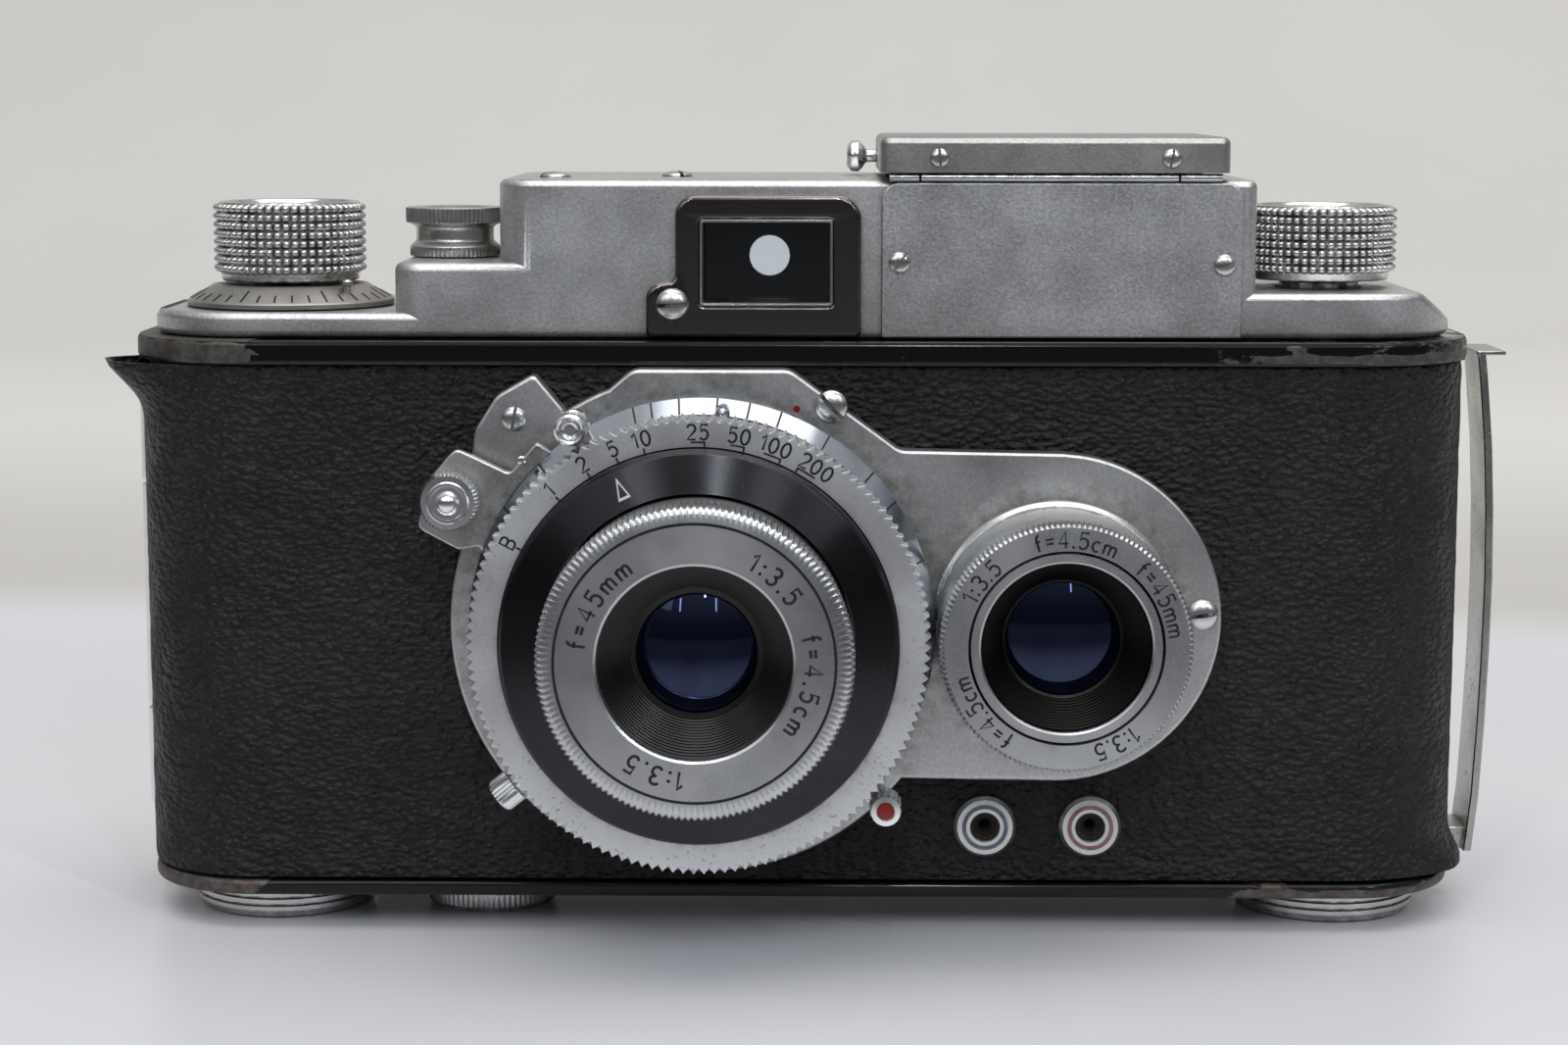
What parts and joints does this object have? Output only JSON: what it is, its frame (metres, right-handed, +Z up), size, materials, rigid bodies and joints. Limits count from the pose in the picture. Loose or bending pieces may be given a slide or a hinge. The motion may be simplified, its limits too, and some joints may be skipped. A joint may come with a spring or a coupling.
{
  "type": "twin-lens reflex camera",
  "caption": "Side-by-side twin-lens reflex camera for 35 mm film: knurled knobs, folding reflex hood, optical finder, geared lenses and a hinged back door.",
  "frame": {"origin": "centre of the bounding box, at the level of the underside of the feet", "axes": "+X to the right when facing the lenses, -Y is the way the lenses point, +Z up"},
  "size_m": [0.1508, 0.0612, 0.0846],
  "materials": {
    "black_enamel": "gloss black enamel on cast metal, worn to bare metal along the edges",
    "leather": "black fine-grained leather cloth with cross ripples",
    "chrome": "bright plated, slightly dulled",
    "cast_silver": "satin silver-grey plating with grime in the corners",
    "plate_silver": "satin sheet metal",
    "dark_chrome": "polished, mirror bright",
    "turned_silver": "turned and knurled, satin",
    "beadblast_silver": "bead-blasted with dark specks",
    "gloss_black": "gloss black with fine turning marks",
    "inner_black": "matt black",
    "steel": "machined",
    "glass": "clear polished",
    "coated_glass": "polished with a blue coating",
    "matt_glass": "ground matt on one face",
    "mirror": "front-silvered"
  },
  "bodies": {
    "body": {"body_shell": "black_enamel", "front_leather": "leather", "body_hinge_leaf": "chrome", "base_plate": "black_enamel", "foot_left": "chrome", "foot_right": "chrome", "tripod_bush": "chrome", "top_cover": "cast_silver", "finder_frame": "dark_chrome", "finder_tube": "inner_black", "finder_glass": "glass", "eyepiece": "chrome", "nameplate": "plate_silver", "hood_well": "inner_black", "ground_glass": "matt_glass", "mirror_carrier": "inner_black", "mirror": "mirror", "lens_plate": "cast_silver", "viewing_flange": "chrome", "flash_socket_left": "chrome", "flash_socket_right": "chrome"},
    "back": {"back_door": "black_enamel", "door_leather": "leather", "door_hinge_leaf": "chrome", "pressure_plate": "inner_black"},
    "latch": {"side_latch": "chrome"},
    "advance": {"advance_knob": "chrome", "advance_shaft": "steel"},
    "counter": {"counter_dial": "plate_silver"},
    "takeup": {"takeup_spool": "inner_black"},
    "sprocket": {"sprocket": "steel"},
    "rewind_lift": {"rewind_sleeve": "steel"},
    "rewind": {"rewind_knob": "chrome", "rewind_shaft": "steel"},
    "collar": {"release_collar": "chrome"},
    "button": {"release_button": "chrome"},
    "lid": {"hood_lid": "cast_silver"},
    "catch": {"hood_catch": "chrome"},
    "flap_left": {"hood_flap_left": "inner_black"},
    "flap_right": {"hood_flap_right": "inner_black"},
    "magnifier": {"magnifier_arm": "inner_black", "magnifier_lens": "glass"},
    "focus": {"focus_ring": "chrome", "focus_lever": "turned_silver"},
    "taking_unit": {"taking_barrel": "inner_black", "shutter_case": "inner_black", "index_ring": "gloss_black", "lens_front_ring": "turned_silver", "lens_cone": "inner_black", "front_element": "coated_glass", "rear_element": "coated_glass"},
    "speed": {"speed_ring": "beadblast_silver"},
    "cocking": {"cocking_lever": "turned_silver"},
    "aperture": {"aperture_lever": "turned_silver"},
    "timer": {"timer_lever": "turned_silver"},
    "blade_left": {"shutter_blade_left": "inner_black"},
    "blade_right": {"shutter_blade_right": "inner_black"},
    "viewing_unit": {"viewing_cell": "turned_silver", "viewing_element": "coated_glass"},
    "viewing_ring": {"viewing_ring": "turned_silver"}
  },
  "joints": [
    {"name": "back_open", "type": "hinge", "parent": "body", "child": "back", "pos_m": [-0.07418, 0.0171, 0.033], "axis": [0, 0, 1], "range_deg": [0, 110]},
    {"name": "latch_swing", "type": "hinge", "parent": "body", "child": "latch", "pos_m": [0.07172, 0.0131, 0.0062], "axis": [0, 1, 0], "range_deg": [0, 8], "stiffness_Nm_per_rad": 0.02, "springref_deg": -11.46},
    {"name": "advance_turn", "type": "hinge", "parent": "body", "child": "advance", "pos_m": [-0.05701, 0.0101, 0.072], "axis": [0, 0, 1], "continuous": true},
    {"name": "counter_turn", "type": "hinge", "parent": "body", "child": "counter", "pos_m": [-0.05701, 0.0101, 0.067], "axis": [0, 0, 1], "continuous": true},
    {"name": "takeup_turn", "type": "hinge", "parent": "body", "child": "takeup", "pos_m": [-0.05701, 0.0101, 0.033], "axis": [0, 0, 1], "continuous": true},
    {"name": "sprocket_turn", "type": "hinge", "parent": "body", "child": "sprocket", "pos_m": [-0.03698, 0.02, 0.033], "axis": [0, 0, 1], "continuous": true},
    {"name": "rewind_lift", "type": "slide", "parent": "body", "child": "rewind_lift", "axis": [0, 0, 1], "range_m": [0, 0.008]},
    {"name": "rewind_turn", "type": "hinge", "parent": "rewind_lift", "child": "rewind", "pos_m": [0.05502, 0.0101, 0.072], "axis": [0, 0, 1], "continuous": true},
    {"name": "collar_turn", "type": "hinge", "parent": "body", "child": "collar", "pos_m": [-0.03898, 0.0101, 0.074], "axis": [0, 0, 1], "range_deg": [0, 40]},
    {"name": "button_press", "type": "slide", "parent": "body", "child": "button", "axis": [0, 0, -1], "range_m": [0, 0.002], "stiffness_N_per_m": 200, "springref_m": -0.002},
    {"name": "hood_open", "type": "hinge", "parent": "body", "child": "lid", "pos_m": [0.02523, -0.0033, 0.0805], "axis": [1, 0, 0], "range_deg": [0, 90]},
    {"name": "flap_left_fold", "type": "hinge", "parent": "body", "child": "flap_left", "pos_m": [0.00942, 0.0111, 0.0812], "axis": [0, 1, 0], "range_deg": [-90, 0]},
    {"name": "flap_right_fold", "type": "hinge", "parent": "body", "child": "flap_right", "pos_m": [0.04113, 0.0111, 0.0812], "axis": [0, 1, 0], "range_deg": [0, 90]},
    {"name": "magnifier_fold", "type": "hinge", "parent": "lid", "child": "magnifier", "pos_m": [0.02533, 0.0196, 0.08285], "axis": [1, 0, 0], "range_deg": [0, 90]},
    {"name": "catch_press", "type": "slide", "parent": "lid", "child": "catch", "axis": [1, 0, 0], "range_m": [0, 0.001], "stiffness_N_per_m": 200, "springref_m": -0.001},
    {"name": "focus_turn", "type": "hinge", "parent": "body", "child": "focus", "pos_m": [-0.01136, -0.0109, 0.03385], "axis": [0, -1, 0], "range_deg": [0, 55]},
    {"name": "taking_focus", "type": "slide", "parent": "body", "child": "taking_unit", "axis": [0, -1, 0], "range_m": [0, 0.002]},
    {"name": "viewing_focus", "type": "slide", "parent": "body", "child": "viewing_unit", "axis": [0, -1, 0], "range_m": [0, 0.002]},
    {"name": "viewing_ring_turn", "type": "hinge", "parent": "viewing_unit", "child": "viewing_ring", "pos_m": [0.02557, -0.0169, 0.03424], "axis": [0, -1, 0], "range_deg": [-105, 0]},
    {"name": "speed_turn", "type": "hinge", "parent": "taking_unit", "child": "speed", "pos_m": [-0.01136, -0.0199, 0.03385], "axis": [0, 1, 0], "range_deg": [-58, 36]},
    {"name": "cocking_turn", "type": "hinge", "parent": "taking_unit", "child": "cocking", "pos_m": [-0.01136, -0.0169, 0.03385], "axis": [0, 1, 0], "range_deg": [0, 60]},
    {"name": "aperture_turn", "type": "hinge", "parent": "taking_unit", "child": "aperture", "pos_m": [-0.01136, -0.0169, 0.03385], "axis": [0, -1, 0], "range_deg": [0, 40]},
    {"name": "timer_turn", "type": "hinge", "parent": "taking_unit", "child": "timer", "pos_m": [-0.01136, -0.0169, 0.03385], "axis": [0, 1, 0], "range_deg": [0, 30]},
    {"name": "blade_left_swing", "type": "hinge", "parent": "taking_unit", "child": "blade_left", "pos_m": [-0.01136, -0.0175, 0.04315], "axis": [0, 1, 0], "range_deg": [0, 40]},
    {"name": "blade_right_swing", "type": "hinge", "parent": "taking_unit", "child": "blade_right", "pos_m": [-0.01136, -0.0167, 0.04315], "axis": [0, -1, 0], "range_deg": [0, 40]}
  ],
  "couplings": [
    {"joint": "counter_turn", "follows": "advance_turn", "ratio": 0.0278},
    {"joint": "takeup_turn", "follows": "advance_turn", "ratio": 1},
    {"joint": "sprocket_turn", "follows": "advance_turn", "ratio": 1},
    {"joint": "flap_left_fold", "follows": "hood_open", "ratio": -1},
    {"joint": "flap_right_fold", "follows": "hood_open", "ratio": 1},
    {"joint": "magnifier_fold", "follows": "hood_open", "ratio": 1},
    {"joint": "taking_focus", "follows": "focus_turn", "m_per_rad": 0.002},
    {"joint": "viewing_focus", "follows": "focus_turn", "m_per_rad": 0.002},
    {"joint": "viewing_ring_turn", "follows": "focus_turn", "ratio": -1.846},
    {"joint": "blade_right_swing", "follows": "blade_left_swing", "ratio": 1}
  ]
}
